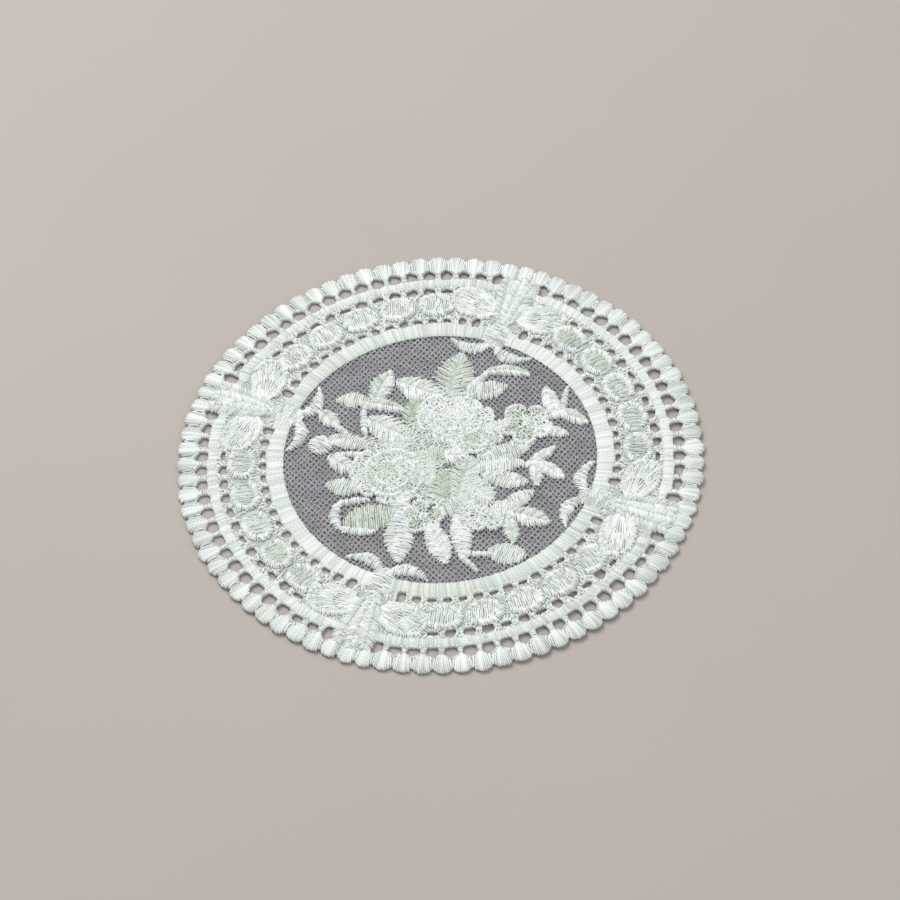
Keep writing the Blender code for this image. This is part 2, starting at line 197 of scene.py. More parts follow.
def rayon_thread():
    material, add, shader = new_finish("rayon_embroidery_thread", {
        "Roughness": 0.46, "IOR": 1.5, "Metallic": 0.0, "Specular IOR Level": 0.45,
        "Sheen Weight": 0.10, "Sheen Roughness": 0.4})
    tint, shade, run = (add("ShaderNodeAttribute", attribute_name=name).outputs["Fac"]
                        for name in ("tint", "shade", "run"))
    girth = add("ShaderNodeAttribute", attribute_name="girth").outputs["Vector"]
    place = add("ShaderNodeTexCoord").outputs["Object"]
    dye = add("ShaderNodeTexNoise", {"Vector": place, "Scale": 1 / (DYE_MM * MM), "Detail": 3.0})
    drift = add("ShaderNodeMath", {0: dye, 1: 0.30, 2: -0.15}, operation="MULTIPLY_ADD")
    share = add("ShaderNodeMath", {0: tint, 1: drift}, operation="ADD", use_clamp=True)
    body = add("ShaderNodeMix", {0: share, 6: hex_colour(WHITE_THREAD), 7: hex_colour(SAGE_THREAD)},
               data_type="RGBA")
    # the twist: a helix along the thread, which no two threads begin alike; it bumps the surface and paints
    # shade into the grooves between the plies
    begin = add("ShaderNodeMath", {0: shade, 1: 40.0}, operation="MULTIPLY")
    angle = add("ShaderNodeMath", {0: run, 1: 2 * math.pi / (TWIST_MM * MM), 2: begin},
                operation="MULTIPLY_ADD")
    swing = add("ShaderNodeMath", {0: angle}, operation="SINE")
    sweep = add("ShaderNodeMath", {0: angle}, operation="COSINE")
    helix = add("ShaderNodeCombineXYZ", {"X": swing, "Y": sweep})
    ply = add("ShaderNodeVectorMath", {0: helix, 1: girth}, operation="DOT_PRODUCT").outputs["Value"]
    groove_shade = add("ShaderNodeMapRange",
                 {"Value": ply, "From Min": -1.0, "From Max": 1.0, "To Min": 0.88, "To Max": 1.0})
    # painted shade: each stitch's own tone, the dark painted shade of the padding and the groove shade all
    # darken the colour here
    depth = add("ShaderNodeMath", {0: shade, 1: 0.11, 2: groove_shade}, operation="MULTIPLY_ADD")
    colour = add("ShaderNodeMix", {0: 1.0, 6: body.outputs[2], 7: depth},
                 data_type="RGBA", blend_type="MULTIPLY")
    bump = add("ShaderNodeBump", {"Height": ply, "Strength": 0.25, "Distance": 0.00006})
    set_inputs(shader, {"Base Color": colour.outputs[2], "Normal": bump})
    return material


THREAD = rayon_thread()

# %% [markdown]
# ## The ground's finish and the net's
# Under the satin stitches the border is filled with rows of short running stitches, the
# machine's underlay. It shows only between patches, as fine rows, and its colour is painted darker than the
# thread, as the shade of the pits between stitches. The net is nylon: a thin, half-clear filament that looks
# grey with a touch of lilac where it crosses light.

# %% Underlay and tulle finishes
UNDERLAY_MM = 0.778  # between two rows of running stitches
DIAGONAL_WAVE = 2 * math.pi / (10 * math.sqrt(2))  # metres between the bands of a diagonal wave of scale 1
FIBRE_MM = 0.7143  # the running thread is a little uneven, over places of this size
NYLON_MM = 6.25  # the net is a little paler or darker, over patches of this size


def two_tones(add, shader, amount, dark, light, limits):
    """Colour a finish from dark to light, as an amount goes from one limit to the other."""
    tone = add("ShaderNodeValToRGB", {"Fac": amount})
    for element, position, code in zip(tone.color_ramp.elements, limits, (dark, light)):
        element.position = position
        element.color = hex_colour(code)
    set_inputs(shader, {"Base Color": tone})


def shaded_underlay_stitching():
    material, add, shader = new_finish("running_stitch_underlay_painted_shade", {
        "Roughness": 0.7, "IOR": 1.5, "Sheen Weight": 0.2, "Sheen Roughness": 0.5})
    place = add("ShaderNodeTexCoord").outputs["Object"]
    scale = DIAGONAL_WAVE / (UNDERLAY_MM * MM)
    rows = add("ShaderNodeTexWave",
               {"Vector": place, "Scale": scale, "Distortion": 1.2, "Detail": 2.0, "Detail Scale": 2.0},
               wave_type="BANDS", bands_direction="DIAGONAL")
    fibre = add("ShaderNodeTexNoise", {"Vector": place, "Scale": 1 / (FIBRE_MM * MM), "Detail": 2.0})
    mixed = add("ShaderNodeMath", {0: rows.outputs["Fac"], 1: fibre}, operation="MULTIPLY")
    # painted shade: both tones are darker than the white thread, so the ground between stitches reads as
    # shade, and the lows between the rows are darker still
    two_tones(add, shader, mixed, "#949c92", "#ccd3cc", (0.0, 0.55))
    bump = add("ShaderNodeBump", {"Height": mixed, "Strength": 0.6, "Distance": 0.00012})
    set_inputs(shader, {"Normal": bump})
    return material


def nylon_tulle():
    material, add, shader = new_finish("nylon_tulle", {
        "Roughness": 0.5, "IOR": 1.53, "Sheen Weight": 0.15, "Sheen Roughness": 0.4})
    place = add("ShaderNodeTexCoord").outputs["Object"]
    patchy = add("ShaderNodeTexNoise", {"Vector": place, "Scale": 1 / (NYLON_MM * MM), "Detail": 3.0})
    two_tones(add, shader, patchy, "#93959c", "#b2b4ba", (0.3, 0.7))
    return material


SHADED_UNDERLAY = shaded_underlay_stitching()
TULLE = nylon_tulle()
print("finishes:", THREAD.name, SHADED_UNDERLAY.name, TULLE.name)

# %% [markdown]
# ## One node tree that sews
# A stitch is a short thread that comes up at one edge of a patch, arches over its
# padding and goes down at the other edge. Written as a mesh, that is one chain of edges.
# The tree turns each chain into a curve and sweeps a small ring along it. It could be
# done with a bevelled curve object for each stitch, but there are thousands of them, and
# a tree makes them all at once, with the thread's thickness as an input.

# %% The sewing tree
def new_tree(name, inputs):
    """A tree, what adds nodes to it, the inputs it is given, and the node that takes its result."""
    tree = bpy.data.node_groups.new(name, "GeometryNodeTree")
    tree.interface.new_socket("Geometry", in_out="INPUT", socket_type="NodeSocketGeometry")
    for label, kind in inputs:
        tree.interface.new_socket(label, in_out="INPUT", socket_type="NodeSocket" + kind)
    tree.interface.new_socket("Geometry", in_out="OUTPUT", socket_type="NodeSocketGeometry")
    add = partial(add_node, tree)
    return tree, add, add("NodeGroupInput").outputs, add("NodeGroupOutput")


def end_tree(add, geometry, finish, result):
    """Every tree ends alike: shaded smooth, made real and dressed in its finish."""
    smooth = add("GeometryNodeSetShadeSmooth", {"Geometry": geometry, "Shade Smooth": True})
    real = add("GeometryNodeRealizeInstances", {"Geometry": smooth})
    set_inputs(result, {0: add("GeometryNodeSetMaterial", {"Geometry": real, "Material": finish})})


def sewing_tree():
    tree, add, given, result = new_tree("sewn threads", (
        ("Thread radius", "Float"), ("Sides", "Int"), ("Unevenness", "Float"), ("Seed", "Int"),
        ("Padding", "Object"), ("Finish", "Material")))
    threads = add("GeometryNodeMeshToCurve", {"Mesh": given["Geometry"]})
    number = add("GeometryNodeInputIndex")
    draw = add("FunctionNodeRandomValue", {2: -1.0, 3: 1.0, "ID": number, "Seed": given["Seed"]},
               data_type="FLOAT")
    own = add("GeometryNodeFieldOnDomain", {0: draw.outputs[1]}, domain="CURVE", data_type="FLOAT")
    along = add("GeometryNodeSplineParameter").outputs["Length"]
    for name, value in (("shade", own), ("run", along)):
        threads = add("GeometryNodeStoreNamedAttribute", {"Geometry": threads, "Name": name, "Value": value},
                      data_type="FLOAT", domain="POINT")
    factor = add("ShaderNodeMath", {0: own, 1: given["Unevenness"], 2: 1.0}, operation="MULTIPLY_ADD")
    ring = add("GeometryNodeCurvePrimitiveCircle",
               {"Resolution": given["Sides"], "Radius": given["Thread radius"]}, mode="RADIUS")
    spot = add("GeometryNodeInputPosition")
    facing = add("ShaderNodeVectorMath", {0: spot}, operation="NORMALIZE")
    girth = add("GeometryNodeStoreNamedAttribute", {"Geometry": ring, "Name": "girth", "Value": facing},
                data_type="FLOAT_VECTOR", domain="POINT")
    swept = add("GeometryNodeCurveToMesh",
                {"Curve": threads, "Profile Curve": girth, "Scale": factor, "Fill Caps": True})
    padding = add("GeometryNodeObjectInfo", {"Object": given["Padding"]})
    both = add("GeometryNodeJoinGeometry", {0: swept})
    set_inputs(both, {0: padding.outputs["Geometry"]})
    end_tree(add, both, given["Finish"], result)
    return tree


SEWING = sewing_tree()
print("sewing tree:", len(SEWING.nodes), "nodes")


# %% From a tree to a plain mesh
def made_by(tree, name, mesh, inputs):
    """Run a tree on a mesh, and keep the result as a plain mesh object at the origin."""
    piece = put(name, mesh)
    modifier = piece.modifiers.new("made", "NODES")
    modifier.node_group = tree
    for item in tree.interface.items_tree:
        if item.in_out == "INPUT" and item.name in inputs:
            modifier[item.identifier] = inputs[item.name]
    depsgraph = bpy.context.evaluated_depsgraph_get()
    result = bpy.data.meshes.new_from_object(
        piece.evaluated_get(depsgraph), preserve_all_data_layers=True, depsgraph=depsgraph)
    piece.modifiers.clear()
    piece.data = result
    result.name = name
    return piece


# %% [markdown]
# ## Stitches
# A `Stitch` is its points and its tint. The arch says how high a stitch stands at each
# share of its way: it rises steeply, runs over the padding and drops again. Ends are a
# little uneven, which gives a satin edge its fine saw teeth.

# %% A stitch
Stitch = namedtuple("Stitch", "points tint")
SATIN = ((0.0, 0.0), (0.13, 0.70), (0.5, 1.0), (0.87, 0.70), (1.0, 0.0))
HALF_LEAF = ((0.0, 0.30), (0.14, 0.82), (0.5, 1.0), (0.86, 0.66), (1.0, 0.0))
LONG_PETAL = ((0.0, 0.25), (0.3, 0.66), (0.7, 1.0), (0.9, 0.84), (1.0, 0.0))
HALF_PETAL = ((0.0, 0.72), (0.3, 1.0), (0.8, 0.88), (1.0, 0.0))
TAPE = ((0.0, 0.2), (0.08, 0.85), (0.5, 1.0), (0.92, 0.85), (1.0, 0.2))
SHORT = ((0.0, 0.0), (0.28, 1.0), (0.72, 1.0), (1.0, 0.0))
SPACING = 0.62  # real thread lies about 0.4 mm apart; it is drawn coarser, so that it shows
RAGGED = 0.24  # how unevenly stitches end
STRAY = 0.11  # how far an end strays to one side
UNLEVEL = 0.06


def thread_over(points, tint):
    """A stitch through points, which rise with the cloth where it stands off the table."""
    return Stitch([(x, y, z + lift(x, y)) for x, y, z in points], tint)


def stitch(start, end, foot, top, tint, arch=SATIN, ragged=RAGGED, stray=STRAY):
    """An arched stitch from near start to near end."""
    length = max(math.dist(start, end), 0.01)
    dx, dy = (end[0] - start[0]) / length, (end[1] - start[1]) / length
    ends = []
    for x, y in (start, end):
        on, aside = jitter(ragged), jitter(stray)
        ends.append((x + dx * on - dy * aside, y + dy * on + dx * aside))
    top += jitter(UNLEVEL)
    return thread_over([(*between(*ends, share), foot + (top - foot) * rise) for share, rise in arch], tint)


# %% Long rows
LONGEST = 3.2  # a longer row is broken into short stitches, as a machine has to
BREAK_SPREAD = 0.35  # how unevenly it is broken
BREAK_RAGGED = 0.05
DIP = 0.26  # how deep the thread dips where the needle goes in


def rise_at(arch, share):
    """How high an arch stands at a share of its way."""
    for (a, low), (b, high) in zip(arch, arch[1:]):
        if share <= b:
            return low + (high - low) * (share - a) / (b - a)
    return arch[-1][1]


def laid(start, end, foot, top, tint, arch=SATIN):
    """A row of a patch. A long one is sewn as short stitches end to end, under the same arch."""
    count = math.ceil(math.dist(start, end) / LONGEST)
    if count < 2:
        yield stitch(start, end, foot, top, tint, arch)
        return
    cuts = [0.0] + [(k + jitter(BREAK_SPREAD)) / count for k in range(1, count)] + [1.0]
    for a, b in zip(cuts, cuts[1:]):
        profile = []
        for share in (0.0, 0.25, 0.75, 1.0):
            at = a + (b - a) * share
            dip = DIP if share in (0.0, 1.0) and 0.0 < at < 1.0 else 0.0
            profile.append((share, foot + (top - foot) * rise_at(arch, at) - dip))
        ragged = RAGGED if a == 0.0 or b == 1.0 else BREAK_RAGGED
        yield stitch(between(start, end, a), between(start, end, b), 0.0, 1.0, tint, profile, ragged)


# %% Steps along a path
def walk(path, step, closed=False):
    """Places at even steps along a path: the point, the way ahead, and the share of the path."""
    points = list(path) + ([path[0]] if closed else [])
    spans = [math.dist(a, b) for a, b in zip(points, points[1:])]
    total = sum(spans)
    count = max(2, round(total / step))
    at, passed = 0, 0.0
    for k in range(count):
        target = (k + 0.5) * total / count
        while at < len(spans) - 1 and passed + spans[at] < target:
            passed += spans[at]
            at += 1
        start, end = points[at], points[at + 1]
        ahead = ((end[0] - start[0]) / spans[at], (end[1] - start[1]) / spans[at])
        yield between(start, end, (target - passed) / spans[at]), ahead, target / total


# %% From stitches to a piece
THREAD_R = 0.31
UNEVENNESS = 0.16  # how much one thread differs in thickness from the next


def guide_mesh(name, stitches):
    """All stitches as chains of edges, with their tint on every point."""
    corners, edges, tints = [], [], []
    for one in stitches:
        base = len(corners)
        corners += [(x * MM, y * MM, z * MM) for x, y, z in one.points]
        edges += [(base + i, base + i + 1) for i in range(len(one.points) - 1)]
        tints += [one.tint] * len(one.points)
    mesh = bpy.data.meshes.new(name)
    mesh.from_pydata(corners, edges, [])
    mesh.attributes.new("tint", "FLOAT", "POINT").data.foreach_set("value", tints)
    return mesh


def triangles(piece):
    return sum(len(face.vertices) - 2 for face in piece.data.polygons)


def sew(name, stitches, seed, radius=THREAD_R, padding=None):
    """Sew stitches over their padding as one piece."""
    stitches = list(stitches)
    under = put(name + "_padding", padding) if padding else None
    piece = made_by(SEWING, name, guide_mesh(name, stitches), {
        "Thread radius": radius * MM, "Sides": 4, "Unevenness": UNEVENNESS, "Seed": seed,
        "Padding": under, "Finish": THREAD})
    if under:
        bpy.data.objects.remove(under)
    print(f"{name}: {len(stitches)} stitches, {triangles(piece)} triangles")
    return piece


# %% [markdown]
# ## A patch of embroidery
# Leaves, petals, shells and ribbons are all patches: an outline with a length and a
# width, an angle, ends that may be pointed and a centre line that may bend. The machine
# fills a patch in one of four ways. A narrow one is sewn straight across. A leaf is
# sewn in two halves that meet in a groove. A petal is a fan of long and short stitches,
# and a bed is filled with short stitches scattered at many angles. Under each patch lies
# a low pad, and some edges are bound with a narrow column of satin stitch.

# %% The outline of a patch
Patch = namedtuple("Patch", "way x y angle length width point taper bend tints top")


def patch(way, x, y, angle, length, width, point=0, taper=0, bend=0, tints=0, top=LEAF_TOP):
    """A patch whose rows take two tints by turns, or one where only one is given."""
    both = tints if isinstance(tints, tuple) else (tints, tints)
    return Patch(way, x, y, angle, length, width, point, taper, bend, both, top)


def on_patch(one, along, across):
    """From -1 to 1 along and across a patch, to its place on the doily."""
    along = max(-1.0, min(1.0, along))
    swell = math.sqrt(1 - along * along)
    side = across * swell * (1 - one.point + one.point * swell) * (1 + one.taper * along) * one.width / 2
    side += one.bend * (1 - along * along) * one.length / 2
    x, y = rotated(along * one.length / 2, side, one.angle)
    return one.x + x, one.y + y


# %% Rows across, and the two halves of a leaf
ROW_END = 0.35  # how high the first and the last row of a patch stand, as a share of the middle one
ACROSS_SLANT = 0.15  # how far a row slants, as a share of the patch's width
LEAF_SLANT = 0.55
LEAF_END = 0.9  # a leaf's rows start no further along it, since their slant covers its tip
TOOTH = 1.14  # every third row reaches a little further, which gives leaves their toothed edge
VEIN = 0.03  # half the width of a leaf's groove, as a share of the leaf's


def rows_of(one, foot, slant, until):
    """Each row of a patch: its number, place along the patch, slant, height and tooth."""
    steps = max(3, round(one.length / SPACING))
    for k in range(steps):
        along = (k + 0.5) * (1 + until) / steps - 1
        swell = math.sqrt(1 - along * along)
        top = foot + (one.top - foot) * (ROW_END + (1 - ROW_END) * swell ** 0.6)
        yield k, along, slant * one.width / one.length * swell, top, 1.0 if k % 3 else TOOTH


def sewn_across(one, foot):
    for k, along, shift, top, tooth in rows_of(one, foot, ACROSS_SLANT, 1.0):
        side = tooth if one.point else 1.0
        start, end = on_patch(one, along - shift, -side), on_patch(one, along + shift, side)
        yield from laid(start, end, foot, top, one.tints[k % 2])


def sewn_leaf(one, foot):
    for side, tint in zip((-1, 1), one.tints):
        for _, along, shift, top, tooth in rows_of(one, foot, LEAF_SLANT, LEAF_END):
            edge = on_patch(one, min(0.97, along + shift), side * tooth)
            yield from laid(on_patch(one, along, VEIN * side), edge, foot, top, tint, HALF_LEAF)


# %% A petal's fan
FAN_DEG = 118  # a petal's stitches fan out so far to each side
FAN_ROOT = (-0.72, 0.5)  # where they start, along and across
FAN_DENSITY = 1.45  # and how many there are for each step of the petal's mean size


def sewn_petal(one, foot):
    """Long and short: stitches fan from the root to the edge, and every second one starts half-way."""
    steps = max(5, round(FAN_DENSITY * (one.width + one.length) / 2 / SPACING))
    for k in range(steps):
        turn = math.radians(FAN_DEG * ((k + 0.5) * 2 / steps - 1))
        root = on_patch(one, FAN_ROOT[0], FAN_ROOT[1] * math.sin(turn))
        edge = on_patch(one, math.cos(turn), math.copysign(1.0, turn))
        if k % 2:
            root = between(root, edge, 0.5)
        yield from laid(root, edge, foot, one.top, one.tints[k % 2], HALF_PETAL if k % 2 else LONG_PETAL)


# %% A bed of short stitches
SEED_STEP = 0.90  # between two short stitches of a bed
SEED_REACH = 0.78  # half the length of one
SEED_TURN = 75
SEED_HEIGHT = 0.42
SEED_SINK = 0.16  # how much lower than the next one it may lie


def sewn_seed(one, foot):
    """Short stitches scattered at many angles, which leave small pits between them."""
    rows = max(2, round(one.length / SEED_STEP))
    for k in range(rows):
        along = (k + 0.5) * 2 / rows - 1
        left, right = on_patch(one, along, -0.9), on_patch(one, along, 0.9)
        count = max(1, round(math.dist(left, right) / SEED_STEP))
        for i in range(count):
            x, y = between(left, right, (i + 0.5 + jitter(0.3)) / count)
            dx, dy = polar(SEED_REACH, one.angle + jitter(SEED_TURN))
            top = one.top + chance.uniform(-SEED_SINK, 0.0)
            tint = one.tints[(k + i) % 2]
            yield stitch((x - dx, y - dy), (x + dx, y + dy), top - SEED_HEIGHT, top, tint, SHORT, 0.1)


WAYS = {"across": sewn_across, "leaf": sewn_leaf, "petal": sewn_petal, "seed": sewn_seed}


# %% Columns along an edge
EDGE_INSET = 0.95  # an edge column runs a little inside its patch
EDGE_HEIGHT = 0.6
EDGE_SLANT = 0.4
EDGE_STEPS = 12


def edges_of(patches, width, rise, reach, tint=0.0, pointed=0.5):
    """Narrow satin columns along the edges of patches, so many degrees to each side of their tips."""
    stitches = []
    turns = [reach * k / EDGE_STEPS for k in range(-EDGE_STEPS, EDGE_STEPS + 1) if k]
    for one in patches:
        path = [on_patch(one, EDGE_INSET * math.cos(math.radians(turn)), math.copysign(EDGE_INSET, turn))
                for turn in turns]
        foot = one.top + rise - EDGE_HEIGHT
        for (x, y), (dx, dy), share in walk(path, SPACING):
            swell = 1 - pointed + pointed * max(0.05, 1 - (2 * share - 1) ** 2) ** 0.5
            half = width / 2 * swell
            lean = EDGE_SLANT * half
            start = (x - dy * half - dx * lean, y + dx * half - dy * lean)
            end = (x + dy * half + dx * lean, y - dx * half + dy * lean)
            stitches.append(stitch(start, end, foot, foot + EDGE_HEIGHT * swell, tint, SHORT))
    return stitches


# %% Padding
PAD_SHADE = -2.6  # painted shade: the padding's colour is darkened, as if it lay in the shade of the stitches over it
PAD_DROP = 0.40  # it ends this far under their tops
PAD_SIDES = 12
PAD_FOOT, PAD_TOP = 0.94, 0.66  # its size at foot and top, as shares of the patch


def padding_mesh(name, patches, foot):
    """Low closed pads just under the stitches, so that nothing shows through between them; their colour
    carries a painted shade.
    """
    bm = bmesh.new()
    tints = bm.verts.layers.float.new("tint")
    shades = bm.verts.layers.float.new("shade")
    for one in patches:
        top = one.top - PAD_DROP
        cone = bmesh.ops.create_cone(
            bm, cap_ends=True, segments=PAD_SIDES, radius1=PAD_FOOT, radius2=PAD_TOP, depth=1.0)
        for vert in cone["verts"]:
            along, across, rise = vert.co
            side = math.sqrt(max(1e-6, 1 - along * along))
            x, y = on_patch(one, along, across / side)
            vert.co = (x * MM, y * MM, (foot + (rise + 0.5) * (top - foot) + lift(x, y)) * MM)
            vert[tints] = sum(one.tints) / 2
            # painted shade: the pad is darkened where it shows between stitches
            vert[shades] = PAD_SHADE
    mesh = bpy.data.meshes.new(name + "_padding")
    bm.to_mesh(mesh)
    bm.free()
    return mesh


def sew_patches(name, patches, foot, seed, extra=()):
    stitches = [one for area in patches for one in WAYS[area.way](area, foot)]
    return sew(name, [*stitches, *extra], seed, padding=padding_mesh(name, patches, foot))


# %% [markdown]
# ## The net
# Tulle is knitted: threads zigzag from side to side and lie against their neighbours at
# each turn, which leaves rows of small holes, each row half a hole further along. A
# plane with a see-through pattern would be cheaper, but it has no thickness and casts a
# wrong shadow. Here a tree bends the rows of a grid into zigzags and sweeps a thread
# along them.

# %% The net's sizes, and two helpers for its tree
HOLE_MM = 1.70  # from hole to hole along a row
ROW_MM = 1.06  # from row to row
NET_THREAD_MM = 0.55  # real thread is about 0.15 mm; it is drawn thicker, so that it shows
NET_CONTACT = 0.42  # how far two threads press into each other, as a share of their thickness
WEAVE_MM = 0.06
HAIR_MM = 0.05  # an edge that runs less than this to the side stands upright in the grid
DRIFT_MM, DRIFT_SCALE = 1.2, 45.0  # whole rows wander over some 20 mm
QUIVER_MM, QUIVER_SCALE = 0.9, 620.0  # and single holes over less than 2 mm


def place_number(add, place, count, reach, width):
    """Which column or row of the grid a point is in, counted from the panel's edge."""
    from_edge = add("ShaderNodeMath", {0: place, 1: reach}, operation="ADD")
    gaps = add("ShaderNodeMath", {0: count, 1: -1.0}, operation="ADD")
    gap = add("ShaderNodeMath", {0: width, 1: gaps}, operation="DIVIDE")
    number = add("ShaderNodeMath", {0: from_edge, 1: gap}, operation="DIVIDE")
    return add("ShaderNodeMath", {0: number}, operation="ROUND")


def wandering(add, threads, scale, detail, amount):
    """Shift every point sideways by a noise of its own place."""
    noise = add("ShaderNodeTexNoise", {"Scale": scale, "Detail": detail}).outputs["Color"]
    centred = add("ShaderNodeVectorMath", {0: noise, 1: (0.5, 0.5, 0.5)}, operation="SUBTRACT")
    strength = add("ShaderNodeCombineXYZ", {"X": amount, "Y": amount})
    shift = add("ShaderNodeVectorMath", {0: centred, 1: strength}, operation="MULTIPLY")
    return add("GeometryNodeSetPosition", {"Geometry": threads, "Offset": shift})


# %% The net tree
def net_tree():
    tree, add, given, result = new_tree("knitted net", (
        *((name, "Float") for name in ("Hole", "Row", "Reach", "Contact", "Thread radius", "Drift", "Quiver",
                                       "Height")),
        ("Finish", "Material")))
    # a grid with four points to a hole, of which only the rows of edges stay
    step = add("ShaderNodeMath", {0: given["Hole"], 1: 4.0}, operation="DIVIDE")
    width = add("ShaderNodeMath", {0: given["Reach"], 1: 2.0}, operation="MULTIPLY")
    across = add("ShaderNodeMath", {0: width, 1: step}, operation="DIVIDE")
    down = add("ShaderNodeMath", {0: width, 1: given["Row"]}, operation="DIVIDE")
    grid = add("GeometryNodeMeshGrid",
               {"Size X": width, "Size Y": width, "Vertices X": across, "Vertices Y": down})
    ends = add("GeometryNodeInputMeshEdgeVertices").outputs
    span = add("ShaderNodeVectorMath", {0: ends["Position 1"], 1: ends["Position 2"]}, operation="SUBTRACT")
    parts = add("ShaderNodeSeparateXYZ", {0: span})
    run = add("ShaderNodeMath", {0: parts}, operation="ABSOLUTE")
    upright = add("FunctionNodeCompare", {0: run, 1: HAIR_MM * MM}, operation="LESS_THAN")
    rows = add("GeometryNodeDeleteGeometry", {"Geometry": grid, "Selection": upright},
               domain="EDGE", mode="EDGE_FACE")
    spot = add("GeometryNodeInputPosition")
    xyz = add("ShaderNodeSeparateXYZ", {0: spot}).outputs
    column = place_number(add, xyz["X"], across, given["Reach"], width)
    row = place_number(add, xyz["Y"], down, given["Reach"], width)
    # two points up, two points down; odd rows are mirrored, so that neighbours meet
    phase = add("ShaderNodeMath", {0: row, 1: 2.0, 2: column}, operation="MULTIPLY_ADD")
    fourth = add("ShaderNodeMath", {0: phase, 1: 4.0}, operation="FLOORED_MODULO")
    low = add("ShaderNodeMath", {0: fourth, 1: 1.5}, operation="GREATER_THAN")
    way = add("ShaderNodeMath", {0: low, 1: -2.0, 2: 1.0}, operation="MULTIPLY_ADD")
    half = add("ShaderNodeMath", {0: given["Row"], 1: 0.5}, operation="MULTIPLY")
    reach = add("ShaderNodeMath", {0: half, 1: given["Contact"]}, operation="SUBTRACT")
    rise = add("ShaderNodeMath", {0: way, 1: reach}, operation="MULTIPLY")
    # threads pass over and under each other a little where they meet
    weave = add("ShaderNodeMath", {0: way, 1: WEAVE_MM * MM, 2: given["Height"]}, operation="MULTIPLY_ADD")
    offset = add("ShaderNodeCombineXYZ", {"Y": rise, "Z": weave})
    bent = add("GeometryNodeSetPosition", {"Geometry": rows, "Offset": offset})
    # whole rows wander, and each hole is a little wider or narrower than the next
    drifting = wandering(add, bent, DRIFT_SCALE, 1.0, given["Drift"])
    uneven = wandering(add, drifting, QUIVER_SCALE, 0.0, given["Quiver"])
    flat = add("ShaderNodeVectorMath", {0: spot, 1: (1.0, 1.0, 0.0)}, operation="MULTIPLY")
    far = add("ShaderNodeVectorMath", {0: flat}, operation="LENGTH").outputs["Value"]
    beyond = add("FunctionNodeCompare", {0: far, 1: given["Reach"]}, operation="GREATER_THAN")
    cut = add("GeometryNodeDeleteGeometry", {"Geometry": uneven, "Selection": beyond}, domain="POINT")
    lines = add("GeometryNodeMeshToCurve", {"Mesh": cut})
    ring = add("GeometryNodeCurvePrimitiveCircle", {"Resolution": 4, "Radius": given["Thread radius"]})
    thread = add("GeometryNodeCurveToMesh", {"Curve": lines, "Profile Curve": ring, "Fill Caps": True})
    end_tree(add, thread, given["Finish"], result)
    return tree


# %% The tulle panel
tulle_panel = made_by(net_tree(), "tulle_panel", bpy.data.meshes.new("tulle_panel"), {
    "Hole": HOLE_MM * MM, "Row": ROW_MM * MM, "Reach": NET_R * MM, "Height": NET_Z * MM,
    "Contact": NET_THREAD_MM * NET_CONTACT * MM, "Thread radius": NET_THREAD_MM / 2 * MM,
    "Drift": DRIFT_MM * MM, "Quiver": QUIVER_MM * MM, "Finish": TULLE})
print("tulle_panel:", triangles(tulle_panel), "triangles")


# %% [markdown]
# ## The ground of the border
# The border starts as one flat ring of underlay with every eyelet punched through it and
# its outer edge cut in scallops. A filled curve with a small bevel gives just that: a
# closed sheet with soft edges. The outlines are cut a little inside the real ones, since
# the stitches that go over each edge add their own thickness.

# %% Outlines of scallops and eyelets
LOBE = ((-1.0, 0.0), (-0.85, 0.40), (-0.62, 0.72), (-0.3, 0.93), (0.05, 1.0), (0.4, 0.95), (0.66, 0.78),
        (0.88, 0.42), (1.0, 0.0))  # across a scallop, and the rise from notch to tip
CORNER_CUT = 0.15


def scallops():
    """Centre and half width, in degrees, of each scallop of the edge."""
    for bow in BOWS:
        side = OUTER_ROW.start / SCALLOPS_PER_BOW
        for i in range(SCALLOPS_PER_BOW):
            yield bow - OUTER_ROW.start + side * (2 * i + 1), side
        half = spacing(OUTER_ROW) / 2
        for i in range(SCALLOPS_PER_QUARTER):
            yield bow + OUTER_ROW.start + half * (2 * i + 1), half


def scallop_edge(inset):
    return [polar(NOTCH_R + rise * (TIP_R - NOTCH_R) - inset, centre + across * half)
            for centre, half in scallops() for across, rise in LOBE[:-1]]


def eyelet(radius, degrees, width, height, lean):
    """A flat foot on the inner side and a leaning peak on the outer side."""
    corners = ((-0.42, -0.5), (0.42, -0.5), (0.5, 0.12), (lean, 0.5), (-0.5, 0.12))
    return [polar(radius + height * v, degrees - math.degrees(width * u / radius)) for u, v in corners]


def eyelets():
    draw = random.Random(7)
    for row in EYELET_ROWS:
        for bow in BOWS:
            for i, share in enumerate(row.heights):
                degrees = bow + row.start + spacing(row) * i
                width = row.width * (1 + EYELET_SPREAD * draw.uniform(-1, 1))
                height = row.height * share * (1 + EYELET_SPREAD * draw.uniform(-1, 1))
                yield eyelet(row.radius, degrees, width, height, EYELET_LEAN * draw.uniform(-1, 1))


def rounded(corners):
    """Cut each corner of a closed outline once."""
    points = []
    for start, end in zip(corners, corners[1:] + corners[:1]):
        points += [between(start, end, CORNER_CUT), between(end, start, CORNER_CUT)]
    return points


EYELETS = [rounded(corners) for corners in eyelets()]
print(len(EYELETS), "eyelets in all")


# %% The ground ring
GROUND_BEVEL = 0.2
GROUND_INSET = 0.3
WELD_MM = 0.002


